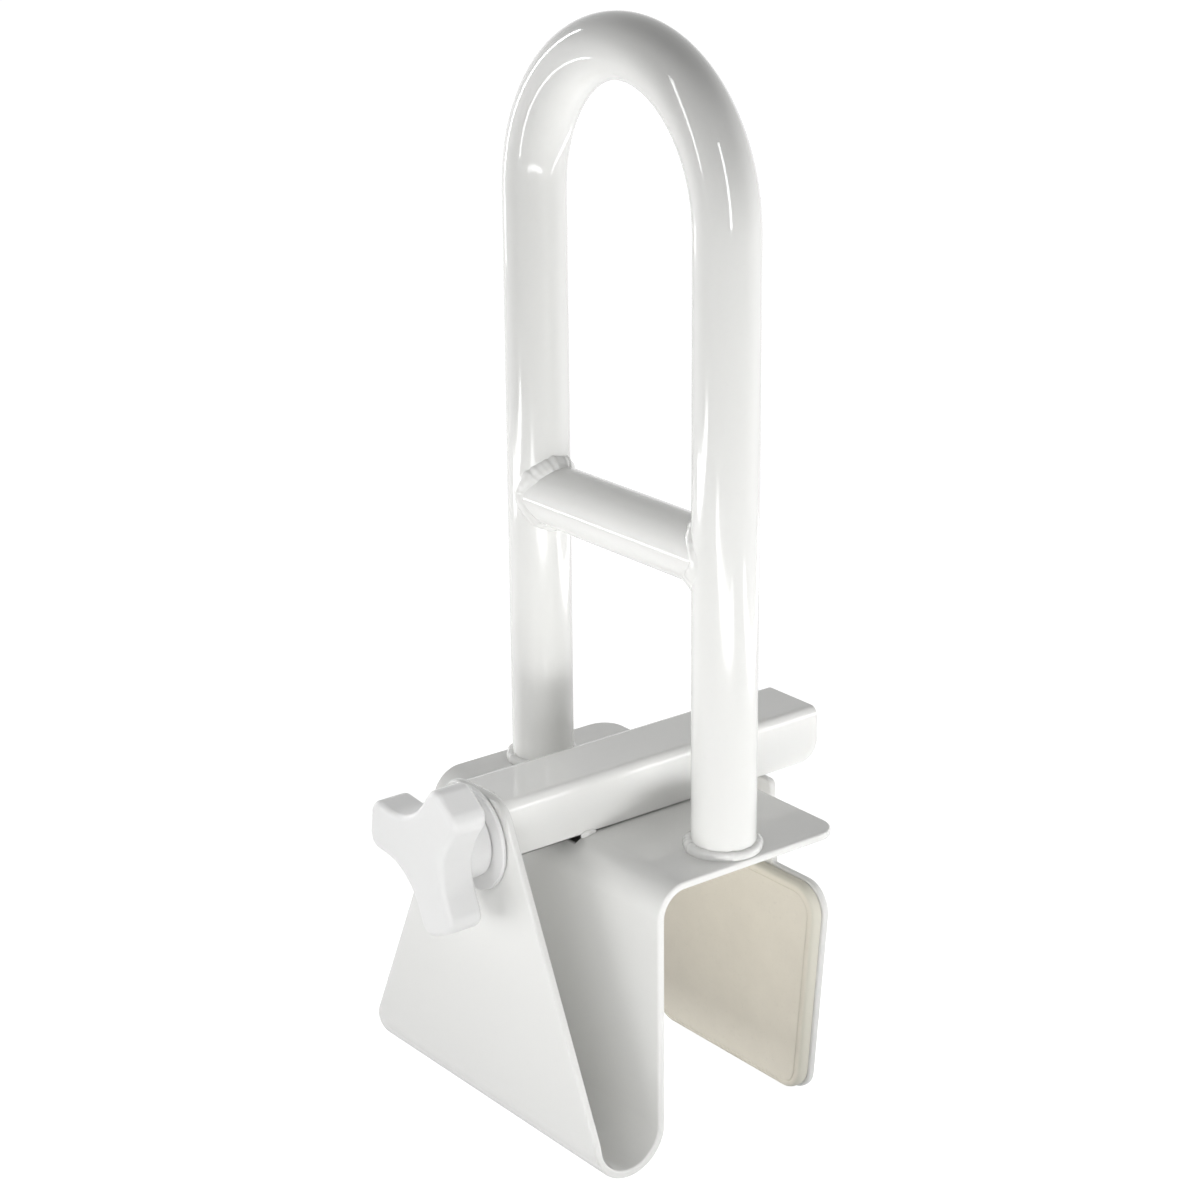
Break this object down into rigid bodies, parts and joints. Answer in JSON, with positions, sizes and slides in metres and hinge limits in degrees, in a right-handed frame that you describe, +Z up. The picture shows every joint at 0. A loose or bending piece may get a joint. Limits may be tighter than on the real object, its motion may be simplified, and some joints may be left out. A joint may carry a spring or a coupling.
{
  "type": "bathtub safety rail",
  "caption": "Clamp-on grab rail: an upright looped tube handle with a crossbar on a bent steel saddle that a screw knob and sliding jaw clamp over a tub wall.",
  "frame": {"origin": "centre of the underside of the saddle's top plate, where it rests on the tub rim, straight below the plane of the handle", "axes": "+X runs along the tub rim, +Y across it towards the inside of the tub, +Z up along the handle; the knob is on the -Y side"},
  "size_m": [0.1472, 0.1895, 0.445],
  "materials": {
    "saddle_paint": "white gloss powder coat on bent sheet steel",
    "tube_paint": "white gloss powder coat on steel tube",
    "channel_paint": "white gloss powder coat on a folded steel channel",
    "weld_paint": "white gloss powder coat over uneven weld beads",
    "jaw_paint": "white gloss powder coat on flat sheet steel",
    "knob_plastic": "white moulded plastic, satin gloss",
    "washer_plastic": "white moulded plastic, satin",
    "screw_zinc": "bright zinc-plated steel",
    "pad_rubber": "cream rubber, matt"
  },
  "bodies": {
    "frame": {"saddle_sheet": "saddle_paint", "handle_tube": "tube_paint", "crossbar_tube": "tube_paint", "guide_channel": "channel_paint", "weld_leg_left": "weld_paint", "weld_leg_right": "weld_paint", "weld_crossbar_left": "weld_paint", "weld_crossbar_right": "weld_paint", "weld_channel_left": "weld_paint", "weld_channel_right": "weld_paint", "weld_channel_front": "weld_paint", "near_pad": "pad_rubber"},
    "screw": {"knob": "knob_plastic", "clamp_screw": "screw_zinc", "retaining_ring": "screw_zinc", "stop_ring": "screw_zinc", "thrust_washer": "washer_plastic"},
    "jaw": {"jaw_plate": "jaw_paint", "far_pad": "pad_rubber", "travel_nut": "screw_zinc"}
  },
  "joints": [
    {"name": "knob_spin", "type": "hinge", "parent": "frame", "child": "screw", "pos_m": [0, -0.076, 0.0087], "axis": [0, 1, 0], "range_deg": [-4270, 2570]},
    {"name": "jaw_slide", "type": "slide", "parent": "frame", "child": "jaw", "axis": [0, 1, 0], "range_m": [-0.0089, 0.0148]}
  ],
  "couplings": [
    {"joint": "knob_spin", "follows": "jaw_slide", "rad_per_m": -5026.5}
  ]
}
